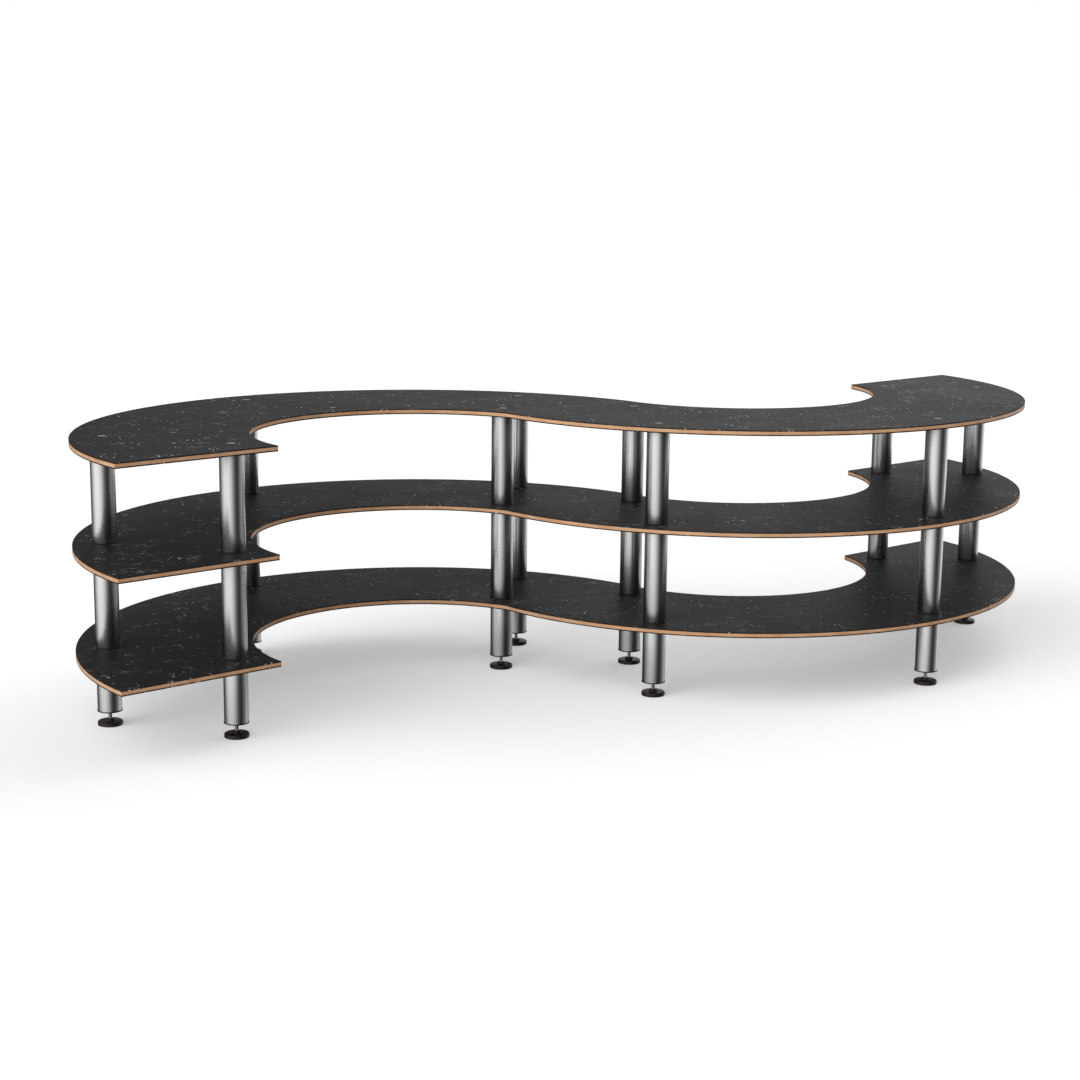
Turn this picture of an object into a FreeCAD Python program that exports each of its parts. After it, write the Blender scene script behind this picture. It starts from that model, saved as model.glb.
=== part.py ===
import FreeCAD
import Part
import math
import os

# A free-standing serving station: two mirrored half-ring modules set end to end as an S, three tiers each,
# carried by ten posts of steel tube on levelling feet. Millimetres, +Z up, floor at zero, origin in the
# middle of the plan.

# Plan of one module: a half ring, its long end on the ring's diameter, its short end cut parallel to it; the
# inner radius is that of the long end
RING_OUTER_R = 1050.0
RING_INNER_R = 510.0
SHORT_END_CUT = 154.0
SEAM_GAP = 1.0

# Tiers: a plywood core between two sheets of solid laminate; heights are those of the serving surfaces
LOWER_TIER_HEIGHT = 248.0
TIER_PITCH = 326.0
CORE_T = 10.0
LAMINATE_T = 4.0

# Posts: three on a circle near the outer edge, and one at each end, set out square from its inner corner
OUTER_POST_ANGLES = (149.7, 90.2, 30.4)
OUTER_POST_INSET = 97.0
LONG_POST_SIDE_INSET = 83.0
LONG_POST_END_INSET = 123.0
SHORT_POST_SIDE_INSET = 66.0
SHORT_POST_END_INSET = 104.0
TUBE_D = 75.0
TUBE_WALL = 2.0

# Plugs that close the tubes, the lower ones with a rim that stands a little proud of the tube
RIM_PROUD = 1.5
RIM_T = 3.0
RIM_ROUND = 1.0
PLUG_L = 22.0
PLUG_GAP = 0.15

# Threaded steel: studs through the boards, countersunk screws in the top tier, stems of the feet
THREAD_D = 12.0
THREAD_GAP = 0.05
BOARD_HOLE_GAP = 0.5
STUD_GRIP = 16.0
HEAD_D = 27.0
HEAD_LAND = 0.8
HEAD_SINK = 0.3
HEAD_GAP = 0.1
KEY_ACROSS = 8.0
KEY_DEPTH = 4.5

# Levelling feet
FOOT_REACH = 45.0
PAD_D = 77.0
PAD_T = 13.0
PAD_ROUND = 4.0
PAD_FOOT_ROUND = 1.5
BOSS_D = 27.0
BOSS_TOP = 20.0
BOSS_ROUND = 2.0
BALL_D = 17.0
BALL_FLOOR = 2.5
BALL_GAP = 0.08
NECK_GAP = 0.3
STEM_SPARE = 28.0

# Link plates under the seam and their screws
PLATE_END_MARGIN = 30.0
PLATE_SIDE_MARGIN = 26.0
PLATE_T = 4.0
PLATE_CORNER_R = 10.0
LINK_SCREW_D = 6.0
LINK_SCREW_GAP = 0.3
LINK_THREAD_GAP = 0.05
LINK_GRIP = 13.0
LINK_HEAD_D = 12.0
LINK_HEAD_T = 3.5
LINK_COLUMNS = 4
LINK_COLUMN_PITCH = 70.0
LINK_ROW_OFFSET = 34.0

# Worked out from the sizes above
SIDES = ("left", "right")
TIERS = ("lower", "middle", "upper")
BOARD_T = CORE_T + 2 * LAMINATE_T
TIER_TOPS = [LOWER_TIER_HEIGHT + i * TIER_PITCH for i in range(len(TIERS))]
TOP_TIER = len(TIERS) - 1
RIM_D = TUBE_D + 2 * RIM_PROUD
STEM_TOP = FOOT_REACH + RIM_T + PLUG_L + STEM_SPARE
PLATE_L = (LINK_COLUMNS - 1) * LINK_COLUMN_PITCH + 2 * PLATE_END_MARGIN
PLATE_W = 2 * (LINK_ROW_OFFSET + PLATE_SIDE_MARGIN)
SHORT_OUTER_X = math.sqrt(RING_OUTER_R**2 - SHORT_END_CUT**2)
# Both ends are equally wide and meet flush, so the inner arc's centre lies a little towards the short end
SHORT_INNER_X = SHORT_OUTER_X - (RING_OUTER_R - RING_INNER_R)
INNER_CENTRE_X = (SHORT_INNER_X**2 + SHORT_END_CUT**2 - RING_INNER_R**2) / (2 * (SHORT_INNER_X + RING_INNER_R))
SHORT_MID_X = (SHORT_INNER_X + SHORT_OUTER_X) / 2
LONG_MID_X = -(RING_INNER_R + RING_OUTER_R) / 2
# From the left ring's centre to the right one's: the two ends at the seam are centred on each other
RING_STEP = FreeCAD.Vector(SHORT_MID_X - LONG_MID_X, SHORT_END_CUT - SEAM_GAP, 0)
# The middle of the plan's box is the origin; the right module reaches only to its short end's outer corner
OVERALL_L = RING_OUTER_R + RING_STEP.x + SHORT_OUTER_X
LEFT_CENTRE = FreeCAD.Vector(RING_OUTER_R - OVERALL_L / 2, -RING_STEP.y / 2, 0)
RING_CENTRES = {"left": LEFT_CENTRE, "right": LEFT_CENTRE + RING_STEP}
UP = FreeCAD.Vector(0, 0, 1)
SAME = 1e-6


def turned(side, y):
    """The right module is the left one mirrored in Y."""
    return y if side == "left" else -y


def place(side, x, y, z=0.0):
    """A point of a module, given from its ring's centre, in the frame of the whole station."""
    centre = RING_CENTRES[side]
    return FreeCAD.Vector(centre.x + x, centre.y + turned(side, y), z)


def cylinder(diameter, height, foot):
    return Part.makeCylinder(diameter / 2, height, foot, UP)


def round_edge(shape, radius, circle_d, z):
    """Rounds the circular edge of a given diameter at a given height."""
    found = []
    for edge in shape.Edges:
        curve = edge.Curve
        if isinstance(curve, Part.Circle) and abs(curve.Radius - circle_d / 2) < SAME:
            if abs(curve.Center.z - z) < SAME:
                found.append(edge)
    return shape.makeFillet(radius, found)


def post_places():
    """Ten (side, foot of the post's axis): outer posts from the long end round, then the two inner ones."""
    outer_r = RING_OUTER_R - OUTER_POST_INSET
    long_x = -(RING_INNER_R + LONG_POST_SIDE_INSET)
    short_x = SHORT_INNER_X + SHORT_POST_SIDE_INSET
    places = []
    for side in SIDES:
        for angle in OUTER_POST_ANGLES:
            turn = math.radians(angle)
            places.append((side, place(side, outer_r * math.cos(turn), outer_r * math.sin(turn))))
        places.append((side, place(side, long_x, LONG_POST_END_INSET)))
        places.append((side, place(side, short_x, SHORT_END_CUT + SHORT_POST_END_INSET)))
    return places


POSTS = post_places()


def at(point, z):
    return FreeCAD.Vector(point.x, point.y, z)


def half_ring(side, z, thickness):
    """A flat sheet with a module's plan."""
    long_outer = place(side, -RING_OUTER_R, 0, z)
    long_inner = place(side, -RING_INNER_R, 0, z)
    short_outer = place(side, SHORT_OUTER_X, SHORT_END_CUT, z)
    short_inner = place(side, SHORT_INNER_X, SHORT_END_CUT, z)
    inner_middle = place(side, INNER_CENTRE_X, RING_INNER_R + INNER_CENTRE_X, z)
    outline = Part.Wire(
        [
            Part.Arc(long_outer, place(side, 0, RING_OUTER_R, z), short_outer).toShape(),
            Part.makeLine(short_outer, short_inner),
            Part.Arc(short_inner, inner_middle, long_inner).toShape(),
            Part.makeLine(long_inner, long_outer),
        ]
    )
    return Part.Face(outline).extrude(FreeCAD.Vector(0, 0, thickness))


def link_screw_places():
    """Plan places of the screws of one link plate, as (side, point)."""
    seam = place("left", SHORT_MID_X, SHORT_END_CUT - SEAM_GAP / 2)
    places = []
    for side in SIDES:
        for column in range(LINK_COLUMNS):
            x = (column - (LINK_COLUMNS - 1) / 2) * LINK_COLUMN_PITCH
            places.append((side, seam + FreeCAD.Vector(x, turned(side, LINK_ROW_OFFSET), 0)))
    return places


LINK_SCREWS = link_screw_places()


def head_cone(point, face_z, gap):
    """A countersunk head whose flat face is at face_z: a short land, then a right-angled cone."""
    land = cylinder(HEAD_D + 2 * gap, HEAD_LAND, at(point, face_z - HEAD_LAND))
    depth = (HEAD_D - THREAD_D) / 2
    cone = Part.makeCone(THREAD_D / 2 + gap, HEAD_D / 2 + gap, depth, at(point, face_z - HEAD_LAND - depth), UP)
    return land.fuse(cone)


def board_holes(side, tier):
    """What is taken out of a board: post holes, countersinks in the top tier, pilot holes at the seam."""
    top = TIER_TOPS[tier]
    hole_d = THREAD_D + 2 * BOARD_HOLE_GAP
    pilot_d = LINK_SCREW_D + 2 * LINK_THREAD_GAP
    cuts = []
    for post_side, point in POSTS:
        if post_side == side:
            cuts.append(cylinder(hole_d, BOARD_T, at(point, top - BOARD_T)))
            if tier == TOP_TIER:
                cuts.append(head_cone(point, top - HEAD_SINK, HEAD_GAP))
                mouth_d = HEAD_D + 2 * HEAD_GAP
                cuts.append(cylinder(mouth_d, HEAD_SINK, at(point, top - HEAD_SINK)))
    for screw_side, point in LINK_SCREWS:
        if screw_side == side:
            cuts.append(cylinder(pilot_d, LINK_GRIP, at(point, top - BOARD_T)))
    return cuts


def make_shelves():
    for side in SIDES:
        for tier, name in enumerate(TIERS):
            top = TIER_TOPS[tier]
            holes = board_holes(side, tier)
            core = half_ring(side, top - LAMINATE_T - CORE_T, CORE_T).cut(holes)
            upper = half_ring(side, top - LAMINATE_T, LAMINATE_T).cut(holes)
            lower = half_ring(side, top - BOARD_T, LAMINATE_T).cut(holes)
            save(f"shelf_core_{side}_{name}", [core])
            save(f"shelf_laminate_{side}_{name}", [upper, lower])


def tube(point, foot_z, top_z):
    outside = cylinder(TUBE_D, top_z - foot_z, at(point, foot_z))
    return outside.cut(cylinder(TUBE_D - 2 * TUBE_WALL, top_z - foot_z, at(point, foot_z)))


def plug(point, foot_z):
    """A plain plug that slides into a tube and holds a thread along its axis."""
    body = cylinder(TUBE_D - 2 * TUBE_WALL - 2 * PLUG_GAP, PLUG_L, at(point, foot_z))
    return body.cut(cylinder(THREAD_D + 2 * THREAD_GAP, PLUG_L, at(point, foot_z)))


def rimmed_plug(point, foot_z):
    """A plug with a rim under it, on which the tube stands."""
    rim = cylinder(RIM_D, RIM_T, at(point, foot_z))
    rim = round_edge(rim, RIM_ROUND, RIM_D, foot_z)
    rim = round_edge(rim, RIM_ROUND, RIM_D, foot_z + RIM_T)
    bore = cylinder(THREAD_D + 2 * THREAD_GAP, RIM_T, at(point, foot_z))
    return rim.cut(bore).fuse(plug(point, foot_z + RIM_T)).removeSplitter()


def make_posts():
    """Tubes, their plugs, and the studs and screws that clamp the boards between them."""
    end_caps, base_rims, top_plugs, studs, screws = [], [], [], [], []
    for number, (_, point) in enumerate(POSTS, 1):
        tubes = []
        for tier, top in enumerate(TIER_TOPS):
            foot = FOOT_REACH if tier == 0 else TIER_TOPS[tier - 1]
            underside = top - BOARD_T
            rims = end_caps if tier == 0 else base_rims
            rims.append(rimmed_plug(point, foot))
            tubes.append(tube(point, foot + RIM_T, underside))
            top_plugs.append(plug(point, underside - PLUG_L))
            if tier == TOP_TIER:
                screws.append(top_screw(point))
            else:
                length = STUD_GRIP + BOARD_T + RIM_T + STUD_GRIP
                studs.append(cylinder(THREAD_D, length, at(point, underside - STUD_GRIP)))
        save(f"leg_tube_{number:02d}", tubes[:1])
        save(f"post_tubes_{number:02d}", tubes[1:])
    save("leg_end_caps", end_caps)
    save("tube_base_rims", base_rims)
    save("tube_top_plugs", top_plugs)
    save("joining_studs", studs)
    save("top_screws", screws)


def hexagon(point, across, z, depth):
    """A hexagonal prism, given across its flats, standing on z."""
    sixth = math.pi / 3
    corner_r = across / 2 / math.cos(sixth / 2)
    corners = []
    for i in range(7):
        turn = i * sixth
        corners.append(at(point, z) + FreeCAD.Vector(math.cos(turn), math.sin(turn), 0) * corner_r)
    return Part.Face(Part.makePolygon(corners)).extrude(FreeCAD.Vector(0, 0, depth))


def top_screw(point):
    """A countersunk screw let into the top tier, with a hexagon socket."""
    face = TIER_TOPS[TOP_TIER] - HEAD_SINK
    foot = TIER_TOPS[TOP_TIER] - BOARD_T - STUD_GRIP
    shank = cylinder(THREAD_D, face - HEAD_LAND - foot, at(point, foot))
    screw = shank.fuse(head_cone(point, face, 0.0)).removeSplitter()
    return screw.cut(hexagon(point, KEY_ACROSS, face - KEY_DEPTH, KEY_DEPTH))


def make_feet():
    """A pad that stands on the floor, and a threaded stem whose ball turns in it."""
    ball_z = BALL_FLOOR + BALL_GAP + BALL_D / 2
    for number, (_, point) in enumerate(POSTS, 1):
        disc = cylinder(PAD_D, PAD_T, at(point, 0))
        disc = round_edge(disc, PAD_ROUND, PAD_D, PAD_T)
        disc = round_edge(disc, PAD_FOOT_ROUND, PAD_D, 0)
        boss = round_edge(cylinder(BOSS_D, BOSS_TOP, at(point, 0)), BOSS_ROUND, BOSS_D, BOSS_TOP)
        socket = Part.makeSphere(BALL_D / 2 + BALL_GAP, at(point, ball_z))
        neck = cylinder(THREAD_D + 2 * NECK_GAP, BOSS_TOP - ball_z, at(point, ball_z))
        save(f"foot_pad_{number:02d}", [disc.fuse(boss).cut([socket, neck]).removeSplitter()])
        ball = Part.makeSphere(BALL_D / 2, at(point, ball_z))
        shank = cylinder(THREAD_D, STEM_TOP - ball_z, at(point, ball_z))
        save(f"foot_stem_{number:02d}", [ball.fuse(shank).removeSplitter()])


def make_links():
    """Steel plates across the seam under each tier, and the screws that hold them."""
    seam = place("left", SHORT_MID_X, SHORT_END_CUT - SEAM_GAP / 2)
    corner = seam - FreeCAD.Vector(PLATE_L / 2, PLATE_W / 2, 0)
    plates, screws = [], []
    for top in TIER_TOPS:
        upper_face = top - BOARD_T
        plate = Part.makeBox(PLATE_L, PLATE_W, PLATE_T, at(corner, upper_face - PLATE_T))
        upright = [e for e in plate.Edges if abs(e.BoundBox.ZLength - PLATE_T) < SAME]
        plate = plate.makeFillet(PLATE_CORNER_R, upright)
        for _, point in LINK_SCREWS:
            hole_d = LINK_SCREW_D + 2 * LINK_SCREW_GAP
            plate = plate.cut(cylinder(hole_d, PLATE_T, at(point, upper_face - PLATE_T)))
            foot = upper_face - PLATE_T - LINK_HEAD_T
            head = cylinder(LINK_HEAD_D, LINK_HEAD_T, at(point, foot))
            shank = cylinder(LINK_SCREW_D, LINK_HEAD_T + PLATE_T + LINK_GRIP, at(point, foot))
            screws.append(head.fuse(shank).removeSplitter())
        plates.append(plate)
    save("seam_plates", plates)
    save("seam_screws", screws)


def save(node, solids):
    shape = solids[0] if len(solids) == 1 else Part.makeCompound(solids)
    shape.exportStep(f"parts/{node}.step")


os.makedirs("parts", exist_ok=True)
make_shelves()
make_posts()
make_feet()
make_links()
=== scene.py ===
# %% [markdown]
# # A tiered buffet station in the shape of an S
# The real object is two mirrored half-ring modules that stand end to end. Each has three boards of
# plywood faced with near-black laminate, and steel tubes that clamp the boards at a fixed pitch and end
# in levelling feet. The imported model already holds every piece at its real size, so this script only
# gives the pieces their looks: smooth arcs, eased edges, real threads and procedural finishes.

# %% The frame
import math

import bmesh
import bpy
from mathutils import Matrix, Vector


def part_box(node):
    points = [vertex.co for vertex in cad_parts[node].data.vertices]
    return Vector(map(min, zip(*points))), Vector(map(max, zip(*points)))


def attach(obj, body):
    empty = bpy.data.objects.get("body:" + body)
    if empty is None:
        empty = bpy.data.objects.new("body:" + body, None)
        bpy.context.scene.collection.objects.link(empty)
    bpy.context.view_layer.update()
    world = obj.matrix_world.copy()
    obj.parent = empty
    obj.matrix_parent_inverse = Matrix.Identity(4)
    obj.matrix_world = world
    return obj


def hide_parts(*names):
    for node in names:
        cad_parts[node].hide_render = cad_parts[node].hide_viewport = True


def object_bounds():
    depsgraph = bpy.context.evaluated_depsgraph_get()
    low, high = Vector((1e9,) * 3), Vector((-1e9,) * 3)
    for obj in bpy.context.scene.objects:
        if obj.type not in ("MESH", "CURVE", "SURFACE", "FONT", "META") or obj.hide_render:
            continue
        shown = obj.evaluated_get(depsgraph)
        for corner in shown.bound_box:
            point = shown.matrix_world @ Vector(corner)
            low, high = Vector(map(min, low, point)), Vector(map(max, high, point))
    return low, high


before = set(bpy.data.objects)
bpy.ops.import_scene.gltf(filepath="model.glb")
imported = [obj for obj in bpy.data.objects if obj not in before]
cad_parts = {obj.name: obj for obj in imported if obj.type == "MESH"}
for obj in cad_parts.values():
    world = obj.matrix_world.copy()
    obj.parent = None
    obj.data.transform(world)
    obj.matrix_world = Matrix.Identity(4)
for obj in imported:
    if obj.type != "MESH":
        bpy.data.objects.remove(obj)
cad_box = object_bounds()
MM = 0.001
print("CAD box in metres", [round(v, 3) for corner in cad_box for v in corner])

# %% [markdown]
# ## The plan
# A module is a half ring: its long end lies on the ring's diameter, its short end is cut parallel to it.
# Its box in the frame therefore gives the outer radius, the ring's centre and the cut, and only the
# depth of the ends is written down. Both ends are equally deep, so that modules meet flush, and the
# inner arc's centre lies a little towards the short end for it. The right module is the left one
# mirrored in Y.

# %% Rings, tiers and posts
END_DEPTH = 540 * MM
SIDES = {"left": 1, "right": -1}
TIERS = ("lower", "middle", "upper")
POST_NUMBERS = [f"{n:02d}" for n in range(1, 11)]
low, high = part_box("shelf_core_left_lower")
RING_OUTER = high.y - low.y
SHORT_OUTER = high.x - low.x - RING_OUTER
SHORT_END_CUT = math.sqrt(RING_OUTER**2 - SHORT_OUTER**2)
LONG_INNER, SHORT_INNER = RING_OUTER - END_DEPTH, SHORT_OUTER - END_DEPTH
INNER_SHIFT = (SHORT_INNER**2 + SHORT_END_CUT**2 - LONG_INNER**2) / (2 * (SHORT_INNER + LONG_INNER))
RING_INNER = LONG_INNER + INNER_SHIFT
LAMINATE_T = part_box("shelf_laminate_left_lower")[1].z - high.z


def ring_centre(side):
    """Centre of a module's ring, from the corner where its long end meets the outer arc."""
    low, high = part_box(f"shelf_core_{side}_lower")
    return Vector((low.x + RING_OUTER, low.y if side == "left" else high.y, 0))


CENTRES = {side: ring_centre(side) for side in SIDES}
CORE_SPANS = {}
for tier in TIERS:
    low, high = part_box(f"shelf_core_left_{tier}")
    CORE_SPANS[tier] = (low.z, high.z)
CORE_T = high.z - low.z
TIER_PITCH = CORE_SPANS["middle"][0] - CORE_SPANS["lower"][0]
POSTS = {}
for number in POST_NUMBERS:
    low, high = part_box(f"leg_tube_{number}")
    POSTS[number] = Vector(((low.x + high.x) / 2, (low.y + high.y) / 2, 0))
LEG_SPAN = (low.z, high.z)
TUBE_R = (high.x - low.x) / 2
print("ring centres", {s: tuple(round(v, 4) for v in c) for s, c in CENTRES.items()})
plan_sizes = (RING_OUTER, RING_INNER, INNER_SHIFT, SHORT_END_CUT, LAMINATE_T, TUBE_R)
print("radii, inner shift, cut, laminate, tube radius", [round(v, 4) for v in plan_sizes])

# %% [markdown]
# ## Two small helpers for materials
# Colours are written as sRGB hex, the way they are read off a screen, and shader sockets take linear
# values, so one function converts them. A second function adds a node, sets it and wires it in one call.

# %% Colour and node helpers


def linear(code):
    """An sRGB hex colour as linear RGBA."""
    channels = [int(code[i : i + 2], 16) / 255 for i in (1, 3, 5)]
    return tuple(c / 12.92 if c <= 0.04045 else ((c + 0.055) / 1.055) ** 2.4 for c in channels) + (1.0,)


def add(tree, kind, inputs=None, **settings):
    """Adds a node, applies its settings, and fills its inputs with values or with links from sockets."""
    node = tree.nodes.new(kind)
    for name, value in settings.items():
        setattr(node, name, value)
    for key, value in (inputs or {}).items():
        if isinstance(value, bpy.types.NodeSocket):
            tree.links.new(value, node.inputs[key])
        else:
            node.inputs[key].default_value = value
    return node


def new_finish(name):
    """A material with its tree and its shader, ready for nodes."""
    material = bpy.data.materials.new(name)
    material.use_nodes = True
    return material, material.node_tree, material.node_tree.nodes["Principled BSDF"]


def ramp(tree, factor, *stops):
    """A colour ramp from (position, hex) pairs."""
    node = add(tree, "ShaderNodeValToRGB", {"Fac": factor})
    elements = node.color_ramp.elements
    while len(elements) < len(stops):
        elements.new(0.5)
    for element, (position, code) in zip(elements, stops):
        element.position = position
        element.color = linear(code)
    return node.outputs["Color"]


print("sRGB #808080 is", round(linear("#808080")[0], 3), "in linear light")

# %% [markdown]
# ## High-pressure laminate
# The faces are a charcoal stone-pattern laminate, pressed with a dull plate and dark right through. The
# eye sees a soft dark surface with slow mottling, pale flecks in clusters and thin broken veins. The
# real flecks are about 1 mm, too fine for the render, so they are drawn as flecks of up to 8 mm. The
# wider chamfers at the seam, which face up at a shallow slope, are drawn in a paler grey.

# %% Laminate finish
FLECK_CELL = 10 * MM
CLUSTER = 110 * MM
RAGGED = 6 * MM
VEIN_CELL = 160 * MM
VEIN_BREAK = 40 * MM
MOTTLE = 320 * MM
# Between which noise levels a cluster builds up, and the share of bare cells outside and inside it
CLUSTER_LEVELS = (0.40, 0.62)
BARE_OUTSIDE, BARE_INSIDE = 0.96, 0.55
FLECK_SIZE = 0.95
FLECK_SHARPNESS = 25.0
# A vein's core and edge as shares of its cell, the noise levels where it sets in, and its full strength
VEIN_WIDTHS = (0.006, 0.018)
VEIN_LEVELS = (0.48, 0.62)
VEIN_STRENGTH = 0.6
LAMINATE_ROUGHNESS = (0.48, 0.56)
LAMINATE_SHEEN = 0.066
PLASTIC_IOR = 1.5
# Nearly all values of a noise lie in this span
NOISE_SPAN = (0.3, 0.7)
# How far up a wide seam chamfer faces, between a flat face and a plain eased arris; there the laminate is
# drawn paler
PALE_CHAMFER_FACING = (0.85, 0.92, 0.97, 0.98)


def noise_at(tree, place, size, detail=3.0):
    """A noise whose lumps have a real size."""
    return add(tree, "ShaderNodeTexNoise", {"Vector": place, "Scale": 1 / size, "Detail": detail})


def remap(tree, value, low, high, to_low, to_high):
    """A value's range laid onto another one and held inside it."""
    spans = {"Value": value, "From Min": low, "From Max": high, "To Min": to_low, "To Max": to_high}
    return add(tree, "ShaderNodeMapRange", spans).outputs[0]


def math_of(tree, operation, first, second, clamp=False):
    node = add(tree, "ShaderNodeMath", {0: first, 1: second}, operation=operation, use_clamp=clamp)
    return node.outputs[0]


def mix(tree, share, first, second, blend="MIX"):
    inputs = {"Fac": share, "Color1": first, "Color2": second}
    return add(tree, "ShaderNodeMixRGB", inputs, blend_type=blend).outputs[0]


def make_laminate():
    material, tree, shader = new_finish("charcoal_laminate_dull_pressed")
    place = add(tree, "ShaderNodeTexCoord").outputs["Object"]
    mottle = noise_at(tree, place, MOTTLE, 4.0).outputs["Fac"]
    body = ramp(tree, mottle, (0.35, "#202021"), (0.65, "#272728"))
    # Flecks: a random share of cells holds one, more inside a cluster, each with its own size and tone
    ragged = mix(tree, RAGGED, place, noise_at(tree, place, RAGGED).outputs["Color"], "ADD")
    cells = add(tree, "ShaderNodeTexVoronoi", {"Vector": ragged, "Scale": 1 / FLECK_CELL})
    chance = add(tree, "ShaderNodeSeparateColor", {"Color": cells.outputs["Color"]})
    cluster = noise_at(tree, place, CLUSTER).outputs["Fac"]
    wanted = remap(tree, cluster, *CLUSTER_LEVELS, BARE_OUTSIDE, BARE_INSIDE)
    kept = math_of(tree, "SUBTRACT", chance.outputs["Red"], wanted)
    radius = math_of(tree, "MULTIPLY", kept, FLECK_SIZE)
    inside = math_of(tree, "SUBTRACT", radius, cells.outputs["Distance"])
    fleck = math_of(tree, "MULTIPLY", inside, FLECK_SHARPNESS, clamp=True)
    bright = math_of(tree, "MULTIPLY", fleck, chance.outputs["Green"])
    # Veins: the joints of large cells, bent by noise and broken into short lengths
    bent = mix(tree, VEIN_CELL, place, noise_at(tree, place, VEIN_CELL / 2, 5.0).outputs["Color"], "ADD")
    joints = {"Vector": bent, "Scale": 1 / VEIN_CELL}
    net = add(tree, "ShaderNodeTexVoronoi", joints, feature="DISTANCE_TO_EDGE").outputs["Distance"]
    line = remap(tree, net, *VEIN_WIDTHS, 1.0, 0.0)
    broken = noise_at(tree, place, VEIN_BREAK).outputs["Fac"]
    lengths = remap(tree, broken, *VEIN_LEVELS, 0.0, VEIN_STRENGTH)
    vein = math_of(tree, "MULTIPLY", line, lengths)
    veined = mix(tree, vein, body, linear("#848480"))
    flecked = mix(tree, bright, veined, linear("#E8E7E2"))
    # The wide seam chamfers, picked out by how far they face up, are drawn in a paler grey
    facing = add(tree, "ShaderNodeNewGeometry").outputs["True Normal"]
    upward = add(tree, "ShaderNodeSeparateXYZ", {"Vector": facing}).outputs["Z"]
    off_arris = remap(tree, upward, *PALE_CHAMFER_FACING[:2], 0.0, 1.0)
    off_face = remap(tree, upward, *PALE_CHAMFER_FACING[2:], 1.0, 0.0)
    pale_seam_chamfer = math_of(tree, "MULTIPLY", off_arris, off_face)
    tree.links.new(mix(tree, pale_seam_chamfer, flecked, linear("#626260")), shader.inputs["Base Color"])
    tree.links.new(remap(tree, mottle, *NOISE_SPAN, *LAMINATE_ROUGHNESS), shader.inputs["Roughness"])
    shader.inputs["IOR"].default_value = PLASTIC_IOR
    shader.inputs["Specular IOR Level"].default_value = LAMINATE_SHEEN
    return material


LAMINATE = make_laminate()
print("made", LAMINATE.name)

# %% [markdown]
# ## Plywood edges
# The boards' edges are bare plywood under clear lacquer. Thin plies lie crossed, so going round the
# curve each ply turns from long grain, pale and streaked, to end grain, darker and dotted. The share of
# the two at a point is how far the edge faces along that ply's grain, which is its normal's X or Y part.

# %% Plywood finish
PLIES = 7
PLY_T = CORE_T / PLIES
GLUE_LINE = 0.16
STREAK_L = 45 * MM
STREAK_T = 1.1 * MM
PORE = 1.1 * MM
PATCH = 60 * MM
GLUE_STRENGTH = 0.45
STREAK_DEPTH = 0.2 * MM
LACQUER_ROUGHNESS = 0.5
LACQUER_IOR = 1.5
LACQUER_SHEEN = 0.2


def make_plywood():
    material, tree, shader = new_finish("birch_plywood_clear_lacquer")
    place = add(tree, "ShaderNodeTexCoord").outputs["Object"]
    xyz = add(tree, "ShaderNodeSeparateXYZ", {"Vector": place})
    above = math_of(tree, "SUBTRACT", xyz.outputs["Z"], CORE_SPANS["lower"][0])
    in_board = math_of(tree, "FLOORED_MODULO", above, TIER_PITCH)
    plies = math_of(tree, "DIVIDE", in_board, PLY_T)
    across = math_of(tree, "FLOORED_MODULO", plies, 1.0)
    number = math_of(tree, "SUBTRACT", plies, across)
    odd = math_of(tree, "FLOORED_MODULO", number, 2.0)
    normal = add(tree, "ShaderNodeNewGeometry").outputs["Normal"]
    faces = add(tree, "ShaderNodeSeparateXYZ", {"Vector": normal})
    end_x = math_of(tree, "POWER", faces.outputs["X"], 2.0)
    end_y = math_of(tree, "POWER", faces.outputs["Y"], 2.0)
    end_grain = add(tree, "ShaderNodeMix", {"Factor": odd, 2: end_y, 3: end_x}, data_type="FLOAT").outputs[0]
    drawn_out = (1 / STREAK_L, 1 / STREAK_L, 1 / STREAK_T)
    streak_place = add(tree, "ShaderNodeMapping", {"Vector": place, "Scale": drawn_out}).outputs[0]
    streaks = noise_at(tree, streak_place, 1.0, 4.0).outputs["Fac"]
    long_tone = ramp(tree, streaks, (0.3, "#D5A882"), (0.7, "#E4C19F"))
    pores = noise_at(tree, place, PORE, 1.0).outputs["Fac"]
    end_tone = ramp(tree, pores, (0.36, "#AE8460"), (0.62, "#CBA17C"))
    wood = mix(tree, end_grain, long_tone, end_tone)
    patches = noise_at(tree, place, PATCH).outputs["Fac"]
    warm = mix(tree, 1.0, wood, ramp(tree, patches, (0.3, "#EAD9C8"), (0.7, "#FFFFFF")), "MULTIPLY")
    glue = remap(tree, across, 0.0, GLUE_LINE, GLUE_STRENGTH, 0.0)
    tree.links.new(mix(tree, glue, warm, linear("#8C6544")), shader.inputs["Base Color"])
    bump = add(tree, "ShaderNodeBump", {"Height": streaks, "Strength": 0.15, "Distance": STREAK_DEPTH})
    tree.links.new(bump.outputs[0], shader.inputs["Normal"])
    shader.inputs["Roughness"].default_value = LACQUER_ROUGHNESS
    shader.inputs["IOR"].default_value = LACQUER_IOR
    shader.inputs["Specular IOR Level"].default_value = LACQUER_SHEEN
    return material


PLYWOOD = make_plywood()
print("made", PLYWOOD.name, "with plies of", round(PLY_T / MM, 2), "mm")

# %% [markdown]
# ## Brushed stainless steel
# The tubes are polished round with a belt, so fine scratches run round them and smear what they mirror
# along the tube's length. That gives long upright bands, pale where the tube faces the light, dark where
# it faces a shelf or the dark end of the room. Anisotropy along U, which runs up the tube, does that.
# The scratches themselves are far finer than a pixel, so only a faint coarse grain of them is drawn.

# %% Tube finish
SCRATCH_L = 30 * MM
SCRATCH_T = 1.5 * MM
TUBE_ROUGHNESS = (0.25, 0.27)
BRUSHED = 0.6


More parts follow.
